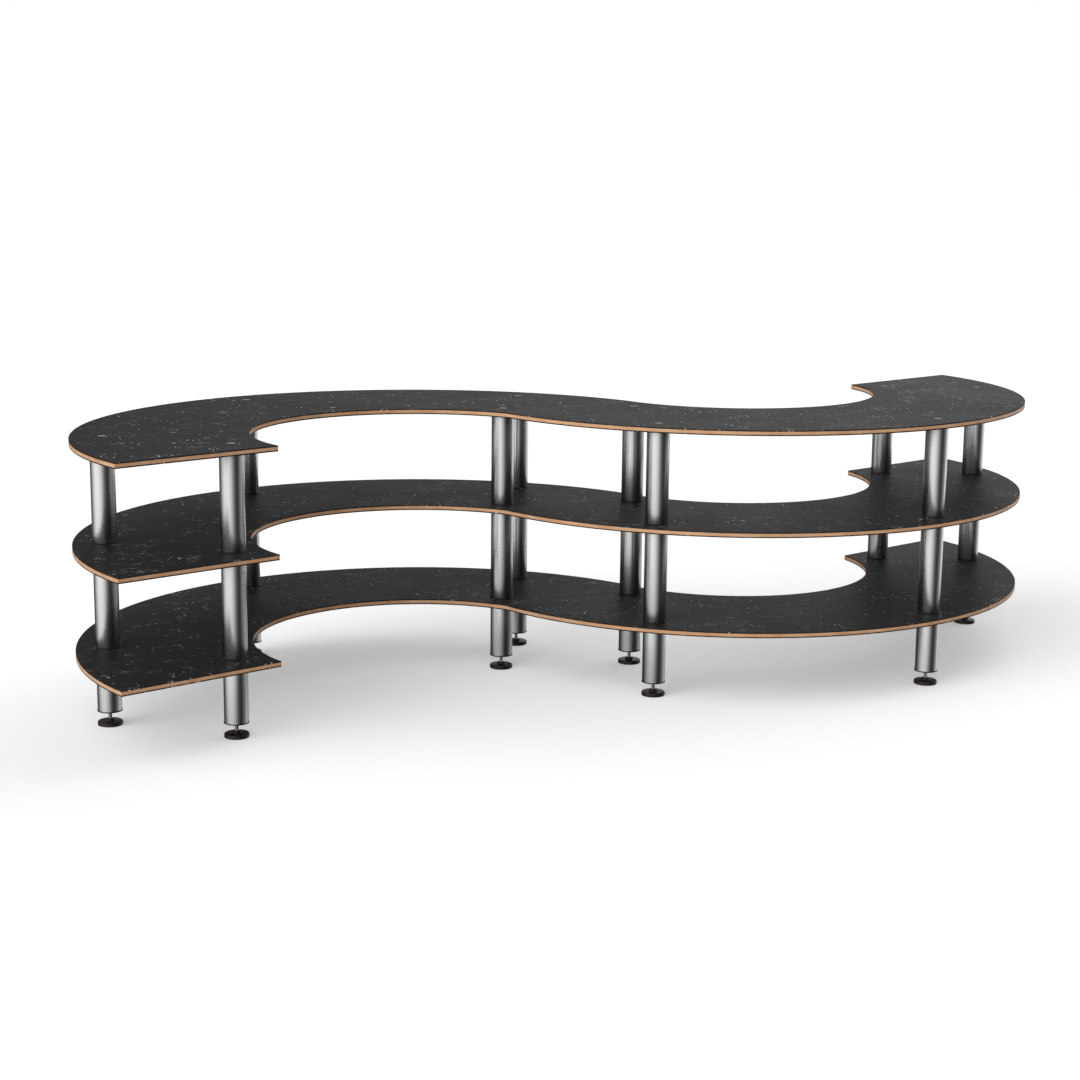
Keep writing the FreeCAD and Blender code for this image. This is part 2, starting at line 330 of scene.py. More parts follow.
def make_tube_steel():
    material, tree, shader = new_finish("stainless_steel_belt_brushed")
    place = add(tree, "ShaderNodeTexCoord").outputs["Object"]
    drawn_out = (1 / SCRATCH_L, 1 / SCRATCH_L, 1 / SCRATCH_T)
    scratch_place = add(tree, "ShaderNodeMapping", {"Vector": place, "Scale": drawn_out}).outputs[0]
    scratches = noise_at(tree, scratch_place, 1.0).outputs["Fac"]
    tree.links.new(ramp(tree, scratches, (0.3, "#B0B0AF"), (0.7, "#B2B2B1")), shader.inputs["Base Color"])
    tree.links.new(remap(tree, scratches, *NOISE_SPAN, *TUBE_ROUGHNESS), shader.inputs["Roughness"])
    lengthwise = add(tree, "ShaderNodeTangent", direction_type="UV_MAP", uv_map="UVMap")
    tree.links.new(lengthwise.outputs[0], shader.inputs["Tangent"])
    shader.inputs["Metallic"].default_value = 1.0
    shader.inputs["Anisotropic"].default_value = BRUSHED
    return material


TUBE_STEEL = make_tube_steel()
print("made", TUBE_STEEL.name)

# %% [markdown]
# ## Bright steel, moulded plastic and coated screws
# Stems, studs, plates and seam screws are zinc-plated steel with a faint cloudiness. Rims, plugs and
# pads are moulded polyamide, spark-eroded to a fine satin grain, and the pads lean more to brown. The
# screw heads in the top are phosphated dark and dull, but are drawn a pale grey, a painted highlight
# for their glints, so each is a small pale disc in the laminate.

# %% Small-part finishes
CLOUD = 9 * MM
SPARK_GRAIN = 0.8 * MM
FLOW = 17 * MM
ZINC_ROUGHNESS = (0.24, 0.36)
GRAIN_DEPTH = 0.1 * MM
GRAIN_SPREAD = 0.06
POLYAMIDE_IOR = 1.53


def make_bright_steel():
    material, tree, shader = new_finish("steel_bright_zinc")
    place = add(tree, "ShaderNodeTexCoord").outputs["Object"]
    clouds = noise_at(tree, place, CLOUD, 4.0).outputs["Fac"]
    tree.links.new(ramp(tree, clouds, (0.3, "#A9A8A6"), (0.7, "#C6C6C4")), shader.inputs["Base Color"])
    tree.links.new(remap(tree, clouds, *NOISE_SPAN, *ZINC_ROUGHNESS), shader.inputs["Roughness"])
    shader.inputs["Metallic"].default_value = 1.0
    return material


def make_coated(name, dark, pale, roughness, sheen):
    """A dull coloured surface, moulded or coated, with a fine grain."""
    material, tree, shader = new_finish(name)
    place = add(tree, "ShaderNodeTexCoord").outputs["Object"]
    grain = noise_at(tree, place, SPARK_GRAIN, 2.0).outputs["Fac"]
    flow = noise_at(tree, place, FLOW, 2.0).outputs["Fac"]
    tree.links.new(ramp(tree, flow, (0.3, dark), (0.7, pale)), shader.inputs["Base Color"])
    dullness = remap(tree, grain, *NOISE_SPAN, roughness - GRAIN_SPREAD, roughness + GRAIN_SPREAD)
    tree.links.new(dullness, shader.inputs["Roughness"])
    bump = add(tree, "ShaderNodeBump", {"Height": grain, "Strength": 0.2, "Distance": GRAIN_DEPTH})
    tree.links.new(bump.outputs[0], shader.inputs["Normal"])
    shader.inputs["IOR"].default_value = POLYAMIDE_IOR
    shader.inputs["Specular IOR Level"].default_value = sheen
    return material


BRIGHT_STEEL = make_bright_steel()
RIM_PLASTIC = make_coated("polyamide_black_spark_eroded", "#1C1210", "#271A16", 0.45, 0.4)
PAD_PLASTIC = make_coated("polyamide_brown_black_spark_eroded", "#1A1110", "#261A18", 0.42, 0.3)
# Screw steel: a pale grey on dark, dull heads, a painted highlight standing in for their glints
SCREW_STEEL_PAINTED_HIGHLIGHT = make_coated("steel_dark_painted_highlight", "#868684", "#949492", 0.55, 0.25)
print("made", BRIGHT_STEEL.name, RIM_PLASTIC.name, PAD_PLASTIC.name, SCREW_STEEL_PAINTED_HIGHLIGHT.name)

# %% [markdown]
# ## Turned and plate shapes
# Nearly every small piece is a turned shape, so one function stacks rings of points. A ring's radius may
# depend on the angle, which gives hexagon sockets and screw threads from the same function. Boards and
# plates are outlines stacked the same way, with holes, and their faces are filled between outline and
# holes.

# %% Mesh helpers
TURN_STEPS = 48
CREASE = math.radians(32)


def finished(name, bm, material, crease=CREASE):
    """A smooth-shaded object from a closed bmesh, creased at its real edges."""
    bmesh.ops.recalc_face_normals(bm, faces=bm.faces)
    mesh = bpy.data.meshes.new(name)
    bm.to_mesh(mesh)
    bm.free()
    mesh.polygons.foreach_set("use_smooth", [True] * len(mesh.polygons))
    mesh.set_sharp_from_angle(angle=crease)
    mesh.materials.append(material)
    piece = bpy.data.objects.new(name, mesh)
    bpy.context.scene.collection.objects.link(piece)
    return piece


def turned(name, rings, material, steps=TURN_STEPS, closed=False):
    """A solid turned about Z from (radius, height) rings; a radius of zero is a pole, closed joins the ends.

    A radius may be a function of the angle. U runs along the profile and V round the piece."""
    bm = bmesh.new()
    layer = bm.loops.layers.uv.new("UVMap")
    rows = []
    for radius, height in rings:
        if radius == 0:
            rows.append([bm.verts.new((0, 0, height))])
            continue
        row = []
        for i in range(steps):
            angle = 2 * math.pi * i / steps
            r = radius(angle) if callable(radius) else radius
            row.append(bm.verts.new((r * math.cos(angle), r * math.sin(angle), height)))
        rows.append(row)
    pairs = list(zip(rows, rows[1:]))
    if closed:
        pairs.append((rows[-1], rows[0]))
    for level, (under, over) in enumerate(pairs):
        for i in range(steps):
            corners = [(under, i, 0), (under, i + 1, 0), (over, i + 1, 1), (over, i, 1)]
            if len(under) == 1:
                corners = [(under, i, 0), (over, i + 1, 1), (over, i, 1)]
            elif len(over) == 1:
                corners = [(under, i, 0), (under, i + 1, 0), (over, i, 1)]
            face = bm.faces.new([row[k % len(row)] for row, k, _ in corners])
            for loop, (_, k, up) in zip(face.loops, corners):
                loop[layer].uv = ((level + up) / len(pairs), k / steps)
    return finished(name, bm, material)


def arc(centre_r, centre_z, radius, start, end, steps=6):
    """Points (radius, height) along an arc of a turned piece's profile, angles in degrees from outwards."""
    points = []
    for i in range(steps + 1):
        turn = math.radians(start + (end - start) * i / steps)
        points.append((centre_r + radius * math.cos(turn), centre_z + radius * math.sin(turn)))
    return points


print("turned pieces have", TURN_STEPS, "sides unless told otherwise")

# %% Boards and plates with holes
HOLE_STEPS = 40


def loop_at(bm, points, height):
    return [bm.verts.new((x, y, height)) for x, y in points]


def circle(centre, radius, steps=HOLE_STEPS):
    turns = [2 * math.pi * i / steps for i in range(steps)]
    return [(centre.x + radius * math.cos(t), centre.y + radius * math.sin(t)) for t in turns]


def add_plate(bm, outlines, holes):
    """Adds a closed plate to bm.

    outlines: (points, height) from the lower face to the upper one. holes: the same lists for each hole."""
    lower_edges, upper_edges = [], []
    for levels in [outlines, *holes]:
        rows = [loop_at(bm, points, height) for points, height in levels]
        for under, over in zip(rows, rows[1:]):
            for i in range(len(under)):
                j = (i + 1) % len(under)
                bm.faces.new((under[i], under[j], over[j], over[i]))
        for row, edges in ((rows[0], lower_edges), (rows[-1], upper_edges)):
            edges.extend(bm.edges.get((row[i], row[(i + 1) % len(row)])) for i in range(len(row)))
    for edges in (lower_edges, upper_edges):
        bmesh.ops.triangle_fill(bm, use_beauty=True, edges=edges)


print("holes have", HOLE_STEPS, "sides")

# %% [markdown]
# ## The boards
# Each board is a wooden core between two thick laminate sheets, flush at the edge, as trimmed by a
# router. So its edge shows a pale line of wood between two dark ones. The sheets' outer arrises are
# eased a little, and wider and flatter where the modules meet, where the laminate is drawn paler, so the
# seam shows as a fine line.

# %% Board outline
ARC_STEPS = 150
ARRIS = 0.7 * MM
SEAM_ARRIS = 1.5 * MM
SHEET_CREASE = math.radians(10)


def half_ring(side, inset=0.0, at_seam=0.0):
    """Plan of a module's board, drawn in by an inset and more at the seam, as points in order round it."""
    outer, inner = RING_OUTER - inset, RING_INNER + inset
    long_y, short_y = inset, SHORT_END_CUT + inset
    if side == "left":
        short_y += at_seam
    else:
        long_y += at_seam
    centre, turn = CENTRES[side], SIDES[side]
    points = []
    for radius, shift, forward in ((outer, 0.0, True), (inner, INNER_SHIFT, False)):
        first, last = math.pi - math.asin(long_y / radius), math.asin(short_y / radius)
        for i in range(ARC_STEPS + 1):
            share = i / ARC_STEPS if forward else 1 - i / ARC_STEPS
            angle = first + (last - first) * share
            x = centre.x + shift + radius * math.cos(angle)
            points.append((x, centre.y + turn * radius * math.sin(angle)))
    return points


def posts_of(side):
    half = len(POST_NUMBERS) // 2
    numbers = POST_NUMBERS[:half] if side == "left" else POST_NUMBERS[half:]
    return [POSTS[n] for n in numbers]


print("a board's outline has", len(half_ring("left")), "points")

# %% Cores and laminate sheets
STUD_HOLE_R = 6.5 * MM
HEAD_R = 13.5 * MM
HEAD_GAP = 0.1 * MM
HEAD_SINK = 0.3 * MM
HEAD_LAND = 0.8 * MM
SHANK_R = 6 * MM
CONE_DEPTH = HEAD_R - SHANK_R

COUNTERSINK_TOP = CORE_SPANS["upper"][1] + LAMINATE_T - HEAD_SINK - HEAD_LAND
COUNTERSINK_FOOT = COUNTERSINK_TOP - CONE_DEPTH - HEAD_GAP + STUD_HOLE_R - SHANK_R


def bore(point, low, high):
    """The hole for a stud or a countersunk screw between two heights of a board."""
    heights = [z for z in (COUNTERSINK_FOOT, COUNTERSINK_TOP) if low < z < high]
    levels = []
    for z in (low, *heights, high):
        rise = min(max(z - COUNTERSINK_FOOT, 0.0), COUNTERSINK_TOP - COUNTERSINK_FOOT)
        levels.append((circle(point, STUD_HOLE_R + rise), z))
    return levels


def make_core(side, tier):
    low, high = CORE_SPANS[tier]
    outline = half_ring(side)
    bm = bmesh.new()
    add_plate(bm, [(outline, low), (outline, high)], [bore(p, low, high) for p in posts_of(side)])
    piece = finished(f"core_{side}_{tier}", bm, PLYWOOD)
    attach(piece, "frame")
    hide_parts(f"shelf_core_{side}_{tier}")
    return piece


def make_sheets(side, tier):
    low, high = CORE_SPANS[tier]
    flush, eased = half_ring(side), half_ring(side, ARRIS)
    eased_top = half_ring(side, ARRIS, SEAM_ARRIS)
    top = high + LAMINATE_T
    foot = low - LAMINATE_T
    points = posts_of(side)
    bm = bmesh.new()
    over = [(flush, high), (flush, top - ARRIS), (eased_top, top)]
    under = [(eased, foot), (flush, foot + ARRIS), (flush, low)]
    add_plate(bm, over, [bore(p, high, top) for p in points])
    add_plate(bm, under, [bore(p, foot, low) for p in points])
    piece = finished(f"laminate_{side}_{tier}", bm, LAMINATE, SHEET_CREASE)
    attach(piece, "frame")
    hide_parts(f"shelf_laminate_{side}_{tier}")
    return piece


for side in SIDES:
    for tier in TIERS:
        core, sheets = make_core(side, tier), make_sheets(side, tier)
        print(core.name, len(core.data.polygons), sheets.name, len(sheets.data.polygons), "faces")

# %% [markdown]
# ## Setting out what repeats
# Thirty tubes, thirty rims, ten screws and the seam's screws are each one shape at many places, which is
# what Geometry Nodes are for. One tree takes a cloud of points and sets a template at each; it is then
# turned into one plain mesh, because they all ride on the same body.

# %% The setting-out tree


def make_setting_out():
    tree = bpy.data.node_groups.new("Set out at places", "GeometryNodeTree")
    for name, kind in (("Places", "Geometry"), ("Template", "Object"), ("Finish", "Material")):
        tree.interface.new_socket(name, in_out="INPUT", socket_type=f"NodeSocket{kind}")
    tree.interface.new_socket("Set", in_out="OUTPUT", socket_type="NodeSocketGeometry")
    given = add(tree, "NodeGroupInput")
    shape = add(tree, "GeometryNodeObjectInfo", {"Object": given.outputs["Template"], "As Instance": True})
    spread = add(
        tree,
        "GeometryNodeInstanceOnPoints",
        {"Points": given.outputs["Places"], "Instance": shape.outputs["Geometry"]},
    )
    real = add(tree, "GeometryNodeRealizeInstances", {"Geometry": spread.outputs[0]})
    painted = add(
        tree,
        "GeometryNodeSetMaterial",
        {"Geometry": real.outputs[0], "Material": given.outputs["Finish"]},
    )
    add(tree, "NodeGroupOutput", {"Set": painted.outputs[0]})
    return tree


SETTING_OUT = make_setting_out()


def set_out(name, template, places):
    """One mesh with the template at each place; the template is used up."""
    cloud = bpy.data.meshes.new(name + "_places")
    cloud.from_pydata([tuple(p) for p in places], [], [])
    piece = bpy.data.objects.new(name, cloud)
    bpy.context.scene.collection.objects.link(piece)
    modifier = piece.modifiers.new("set out", "NODES")
    modifier.node_group = SETTING_OUT
    sockets = {s.name: s.identifier for s in SETTING_OUT.interface.items_tree if s.in_out == "INPUT"}
    modifier[sockets["Template"]] = template
    modifier[sockets["Finish"]] = template.data.materials[0]
    bpy.context.view_layer.update()
    depsgraph = bpy.context.evaluated_depsgraph_get()
    mesh = bpy.data.meshes.new_from_object(piece.evaluated_get(depsgraph))
    piece.modifiers.clear()
    piece.data = mesh
    mesh.name = name
    bpy.data.meshes.remove(cloud)
    bpy.data.objects.remove(template)
    print(name, "at", len(places), "places,", len(mesh.polygons), "faces")
    return piece


def dress(piece, slot, *nodes):
    """Rides on the frame and stands for the CAD nodes of the same pieces."""
    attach(piece, "frame")
    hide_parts(*nodes)


def at_height(z):
    """All posts' places at a height."""
    return [p + Vector((0, 0, z)) for p in POSTS.values()]


print(SETTING_OUT.name, "takes", len(SETTING_OUT.nodes), "nodes")

# %% [markdown]
# ## Tubes and rims
# Every tube is saw-cut, deburred and stands on a rim a little wider than itself. The tube's ends are
# rounded by half a millimetre so that they end in a thin bright line instead of a razor edge.

# %% Tubes
TUBE_WALL = 2 * MM
DEBURR = 0.5 * MM
TUBE_STEPS = 72


def make_tube(name, length):
    inner = TUBE_R - TUBE_WALL
    middle, half = TUBE_R - DEBURR, DEBURR
    outside = arc(middle, half, DEBURR, -90, 0, 3) + arc(middle, length - half, DEBURR, 0, 90, 3)
    return turned(name, [(inner, 0)] + outside + [(inner, length)], TUBE_STEEL, TUBE_STEPS, closed=True)


leg_nodes = [f"leg_tube_{n}" for n in POST_NUMBERS]
post_nodes = [f"post_tubes_{n}" for n in POST_NUMBERS]
legs = set_out("leg_tubes", make_tube("leg_template", LEG_SPAN[1] - LEG_SPAN[0]), at_height(LEG_SPAN[0]))
dress(legs, "tube_steel", *leg_nodes)
post_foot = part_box("post_tubes_01")[0].z
post_length = CORE_SPANS["middle"][0] - LAMINATE_T - post_foot
post_places = at_height(post_foot) + at_height(post_foot + TIER_PITCH)
posts = set_out("post_tubes", make_tube("post_template", post_length), post_places)
dress(posts, "tube_steel", *post_nodes)

# %% Rims
RIM_R = TUBE_R + 1.5 * MM
RIM_T = 3 * MM
RIM_ROUND = 1 * MM
SPIGOT_R = TUBE_R - TUBE_WALL - 0.15 * MM
SPIGOT_L = 22 * MM
THREAD_BORE_R = 6.05 * MM


def make_rim():
    edge = arc(RIM_R - RIM_ROUND, RIM_ROUND, RIM_ROUND, -90, 0, 4)
    edge += arc(RIM_R - RIM_ROUND, RIM_T - RIM_ROUND, RIM_ROUND, 0, 90, 4)
    spigot = [(SPIGOT_R, RIM_T), (SPIGOT_R, RIM_T + SPIGOT_L)]
    bore = [(THREAD_BORE_R, RIM_T + SPIGOT_L), (THREAD_BORE_R, 0)]
    return turned("rim_template", edge + spigot + bore, RIM_PLASTIC, closed=True)


cap_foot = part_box("leg_end_caps")[0].z
dress(set_out("leg_rims", make_rim(), at_height(cap_foot)), "rim_plastic", "leg_end_caps")
base_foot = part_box("tube_base_rims")[0].z
base_places = at_height(base_foot) + at_height(base_foot + TIER_PITCH)
dress(set_out("base_rims", make_rim(), base_places), "rim_plastic", "tube_base_rims")

# %% [markdown]
# ## Screws
# The top board is held by countersunk socket screws, let in just below the surface, so each shows as a
# small grey disc with a dark lip; the grey is a painted highlight on dark heads. The hexagon socket is a
# ring whose radius follows a hexagon.

# %% Countersunk screws
KEY_ACROSS = 8 * MM
KEY_DEPTH = 4.5 * MM
SOCKET_LEAD = 0.4 * MM
TIP_CHAMFER = 1 * MM
HEAD_EASE = 0.2 * MM


def hexagon(across):
    """Radius of a hexagon, given across its flats, at an angle."""
    sixth = math.pi / 3
    return lambda angle: across / 2 / math.cos((angle % sixth) - sixth / 2)


def make_top_screw(length):
    key = hexagon(KEY_ACROSS)
    lead = hexagon(KEY_ACROSS + 2 * SOCKET_LEAD)
    rings = [(0, 0), (SHANK_R - TIP_CHAMFER, 0), (SHANK_R, TIP_CHAMFER)]
    rings += [(SHANK_R, length - HEAD_LAND - CONE_DEPTH), (HEAD_R, length - HEAD_LAND)]
    rings += [(HEAD_R, length - HEAD_EASE), (HEAD_R - HEAD_EASE, length), (lead, length)]
    rings += [(key, length - SOCKET_LEAD), (key, length - KEY_DEPTH), (0, length - KEY_DEPTH)]
    # The screw takes the pale grey that is a painted highlight on its dark head
    return turned("top_screw_template", rings, SCREW_STEEL_PAINTED_HIGHLIGHT)


screw_low, screw_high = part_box("top_screws")
top_screws = set_out("top_screws", make_top_screw(screw_high.z - screw_low.z), at_height(screw_low.z))
dress(top_screws, "dark_steel", "top_screws")

# %% [markdown]
# ## The seam
# Under each tier a steel plate bridges the seam between the modules. It only shows from below, as a
# plate with rounded corners and two rows of button-head screws.

# %% Link plates
PLATE_CORNER = 10 * MM
PLATE_EASE = 0.4 * MM
LINK_HOLE_R = 3.3 * MM
LINK_PITCH = 70 * MM
LINK_COLUMNS = 4
LINK_ROW = 34 * MM
LINK_STEPS = 16


def rounded_plate(low, high, corner, inset, steps=8):
    """Outline of a rectangle with round corners, drawn in by an inset."""
    points = []
    radius = corner - inset
    for cx, cy, start in ((1, 1, 0), (0, 1, 90), (0, 0, 180), (1, 0, 270)):
        x = high.x - corner if cx else low.x + corner
        y = high.y - corner if cy else low.y + corner
        for i in range(steps + 1):
            turn = math.radians(start + 90 * i / steps)
            points.append((x + radius * math.cos(turn), y + radius * math.sin(turn)))
    return points


plate_low, plate_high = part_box("seam_plates")
seam = (plate_low + plate_high) / 2
columns = [(i - (LINK_COLUMNS - 1) / 2) * LINK_PITCH for i in range(LINK_COLUMNS)]
link_places = [Vector((seam.x + x, seam.y + y, 0)) for y in (LINK_ROW, -LINK_ROW) for x in columns]
under_tiers = [CORE_SPANS[t][0] - LAMINATE_T for t in TIERS]
plate_t = under_tiers[0] - plate_low.z
bm = bmesh.new()
full = rounded_plate(plate_low, plate_high, PLATE_CORNER, 0.0)
drawn_in = rounded_plate(plate_low, plate_high, PLATE_CORNER, PLATE_EASE)
for top in under_tiers:
    foot = top - plate_t
    rims = [circle(p, LINK_HOLE_R, LINK_STEPS) for p in link_places]
    holes = [[(rim, foot), (rim, top)] for rim in rims]
    add_plate(bm, [(drawn_in, foot), (full, foot + PLATE_EASE), (full, top)], holes)
plates = finished("seam_plates", bm, BRIGHT_STEEL)
dress(plates, "bright_steel", "seam_plates")
print("plates", len(plates.data.polygons), "faces")

# %% Link screws
LINK_R = 3 * MM
LINK_HEAD_R = 6 * MM
LINK_HEAD_T = 3.5 * MM
LINK_KEY = 4 * MM
LINK_KEY_DEPTH = 2 * MM
LINK_KEY_LEAD = 0.35 * MM
DOME_TURNS = (1.0, 0.75, 0.5, 0.25, 0.0)
LINK_SCREW_STEPS = 24


def make_link_screw(length):
    key = hexagon(LINK_KEY)
    dome = [(LINK_HEAD_R * math.cos(t), LINK_HEAD_T * (1 - math.sin(t))) for t in DOME_TURNS]
    rings = [(0, LINK_KEY_DEPTH), (key, LINK_KEY_DEPTH), (key, LINK_KEY_LEAD)] + dome
    rings += [(LINK_R, LINK_HEAD_T), (LINK_R, length - TIP_CHAMFER)]
    rings += [(LINK_R - TIP_CHAMFER, length), (0, length)]
    return turned("link_screw_template", rings, BRIGHT_STEEL, LINK_SCREW_STEPS)


link_low, link_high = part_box("seam_screws")
link_length = link_high.z - link_low.z - 2 * TIER_PITCH
link_feet = [link_low.z + i * TIER_PITCH for i in range(len(TIERS))]
all_places = [p + Vector((0, 0, z)) for z in link_feet for p in link_places]
dress(set_out("seam_screws", make_link_screw(link_length), all_places), "bright_steel", "seam_screws")

# %% [markdown]
# ## Levelling feet
# A pad carries a ball socket, and the threaded stem's ball turns in it while the thread climbs into the
# leg. Pad and stem are separate bodies, so each foot is its own pair of pieces. The thread is a turned
# shape whose radius rises and falls with height and angle together, which makes a helix of the right
# hand.

# %% Pads
PAD_R = 38.5 * MM
PAD_T = 13 * MM
PAD_ROUND = 4 * MM
PAD_FOOT_ROUND = 1.5 * MM
BOSS_R = 13.5 * MM
BOSS_TOP = 20 * MM
BOSS_ROUND = 2 * MM
BALL_R = 8.5 * MM
BALL_GAP = 0.08 * MM
BALL_Z = 11.08 * MM
NECK_R = 6.3 * MM


def make_pad():
    rings = [(0, 0)] + arc(PAD_R - PAD_FOOT_ROUND, PAD_FOOT_ROUND, PAD_FOOT_ROUND, -90, 0, 4)
    rings += arc(PAD_R - PAD_ROUND, PAD_T - PAD_ROUND, PAD_ROUND, 0, 90, 8)
    rings += arc(BOSS_R + BOSS_ROUND, PAD_T + BOSS_ROUND, BOSS_ROUND, 270, 180, 4)
    rings += arc(BOSS_R - BOSS_ROUND, BOSS_TOP - BOSS_ROUND, BOSS_ROUND, 0, 90, 4)
    socket_r = BALL_R + BALL_GAP
    mouth = math.degrees(math.acos(NECK_R / socket_r))
    rings += [(NECK_R, BOSS_TOP)] + arc(0, BALL_Z, socket_r, mouth, -80, 10) + [(0, BALL_Z - socket_r)]
    return turned("pad_template", rings, PAD_PLASTIC)


print("pads are", round(2 * PAD_R / MM), "mm across")

# %% Stems
THREAD_PITCH = 1.75 * MM
THREAD_DEPTH = 0.95 * MM
THREAD_FOOT = 17 * MM
THREAD_TOP = 76 * MM
PER_PITCH = 6
STEM_STEPS = 20


def thread_radius(z):
    """Radius of a right-hand thread at a height, as a function of the angle."""

    def radius(angle):
        phase = (z / THREAD_PITCH - angle / (2 * math.pi)) % 1
        return SHANK_R - THREAD_DEPTH * abs(2 * phase - 1)

    return radius


def make_stem(top):
    rings = [(0, BALL_Z - BALL_R)]
    neck = math.degrees(math.acos((SHANK_R - THREAD_DEPTH) / BALL_R))
    rings += arc(0, BALL_Z, BALL_R, -75, neck, 12)
    rings.append((SHANK_R - THREAD_DEPTH, THREAD_FOOT))
    count = int((THREAD_TOP - THREAD_FOOT) / THREAD_PITCH * PER_PITCH)
    for i in range(1, count):
        z = THREAD_FOOT + i * THREAD_PITCH / PER_PITCH
        rings.append((thread_radius(z), z))
    core_r = SHANK_R - THREAD_DEPTH
    rings += [(core_r, THREAD_TOP), (core_r, top - TIP_CHAMFER), (core_r - TIP_CHAMFER, top), (0, top)]
    return turned("stem_template", rings, BRIGHT_STEEL, STEM_STEPS)


def copy_to(template, name, point, body, node):
    """A copy of a template's mesh moved to a post, riding on its own body."""
    mesh = template.data.copy()
    mesh.name = name
    mesh.transform(Matrix.Translation(point))
    piece = bpy.data.objects.new(name, mesh)
    bpy.context.scene.collection.objects.link(piece)
    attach(piece, body)
    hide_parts(node)


pad_template = make_pad()
stem_template = make_stem(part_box("foot_stem_01")[1].z)
for number, point in POSTS.items():
    copy_to(pad_template, f"pad_{number}", point, f"pad_{number}", f"foot_pad_{number}")
    copy_to(stem_template, f"stem_{number}", point, f"stem_{number}", f"foot_stem_{number}")
foot_faces = [len(template.data.polygons) for template in (pad_template, stem_template)]
print(len(POSTS), "feet, faces of a pad and a stem", foot_faces)
bpy.data.objects.remove(pad_template)
bpy.data.objects.remove(stem_template)

# %% [markdown]
# ## Pieces out of sight
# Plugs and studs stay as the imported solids, closed in by the tubes, and only take their finish.

# %% Finishes of the hidden solids
for node, material in (("tube_top_plugs", RIM_PLASTIC), ("joining_studs", BRIGHT_STEEL)):
    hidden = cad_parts[node]
    hidden.data.materials.clear()
    hidden.data.materials.append(material)
    print(node, "takes", material.name)

# %% [markdown]
# ## Studio
# A plain pale floor under one soft room light. The room is a white background behind the object, a wide
# soft box on its left, a bright strip behind its right, a dim ceiling and an unlit end in front of it,
# which is what gives steel its dark bands. The camera sees plain white everywhere. The floor is lifted
# to white for the camera only by what its own pale colour leaves, so it keeps the object's shadow.
# Mirror images see the room through it, dimmed near the object, where a real floor lies in shade.

# %% Floor
FLOOR_SIZE = 120.0
FLOOR_TONE = "#F0F0F0"
FLOOR_LIFT = 0.35
# Distance from the middle, in half lengths and half widths of the object, where the dimming starts and ends
SHADE_FROM, SHADE_TO = 0.3, 2.5


def make_floor():
    material, tree, shader = new_finish("studio_floor")
    shader.inputs["Base Color"].default_value = linear(FLOOR_TONE)
    shader.inputs["Roughness"].default_value = 0.9
    shader.inputs["Specular IOR Level"].default_value = 0.0
    shader.inputs["Emission Color"].default_value = (1, 1, 1, 1)
    path = add(tree, "ShaderNodeLightPath")
    seen = math_of(tree, "MAXIMUM", path.outputs["Is Camera Ray"], path.outputs["Is Transmission Ray"])
    tree.links.new(math_of(tree, "MULTIPLY", seen, FLOOR_LIFT), shader.inputs["Emission Strength"])
    spans = cad_box[1] - cad_box[0]
    place = add(tree, "ShaderNodeTexCoord").outputs["Object"]
    in_halves = add(tree, "ShaderNodeMapping", {"Vector": place, "Scale": (2 / spans.x, 2 / spans.y, 0)})
    away = add(tree, "ShaderNodeVectorMath", {0: in_halves.outputs[0]}, operation="LENGTH").outputs["Value"]
    shade = remap(tree, away, SHADE_FROM, SHADE_TO, 0.0, 1.0)
    tint = ramp(tree, shade, (0.0, "#A8A8A8"), (0.45, "#E8E8E8"), (1.0, "#FFFFFF"))
    through = add(tree, "ShaderNodeBsdfTransparent", {"Color": tint})
    whole = {0: path.outputs["Is Glossy Ray"], 1: shader.outputs[0], 2: through.outputs[0]}
    shown = add(tree, "ShaderNodeMixShader", whole)
    tree.links.new(shown.outputs[0], tree.nodes["Material Output"].inputs["Surface"])
    half = FLOOR_SIZE / 2
    mesh = bpy.data.meshes.new("floor")
    corners = [(-half, -half, 0), (half, -half, 0), (half, half, 0), (-half, half, 0)]
    mesh.from_pydata(corners, [], [(0, 1, 2, 3)])
    mesh.materials.append(material)
    floor = bpy.data.objects.new("floor", mesh)
    bpy.context.scene.collection.objects.link(floor)
    return floor


make_floor()
print("floor", FLOOR_SIZE, "m wide")

# %% Room light
SOFT_BOX_LEVEL = 1.85
CEILING = "#8A8A8A"
# Sines of the elevations between which the walls turn into the ceiling
CEILING_FROM, CEILING_FULL = 0.8, 0.95
# Bearings in degrees from +X, and how bright the room is there against the soft box
ROOM = (
    (-180, "#FFFFFF"), (-160, "#FFFFFF"), (-138, "#E0E0E0"), (-120, "#ADADAD"),
    (-105, "#6E6E6E"), (-95, "#525252"), (-85, "#3A3A3A"), (-65, "#3C3C3C"),
    (-48, "#7C7C7C"), (-35, "#909090"), (-22, "#C0C0C0"), (-14, "#F0F0F0"),
    (-4, "#F0F0F0"), (8, "#D0D0D0"), (32, "#C0C0C0"), (66, "#505050"),
    (102, "#505050"), (113, "#616161"), (128, "#A0A0A0"), (144, "#D1D1D1"),
    (158, "#F1F1F1"), (170, "#FFFFFF"), (180, "#FFFFFF"),
)
# Where mirror images see the white background instead
BEHIND = ((-2, "#000000"), (10, "#FFFFFF"), (32, "#FFFFFF"), (66, "#000000"))


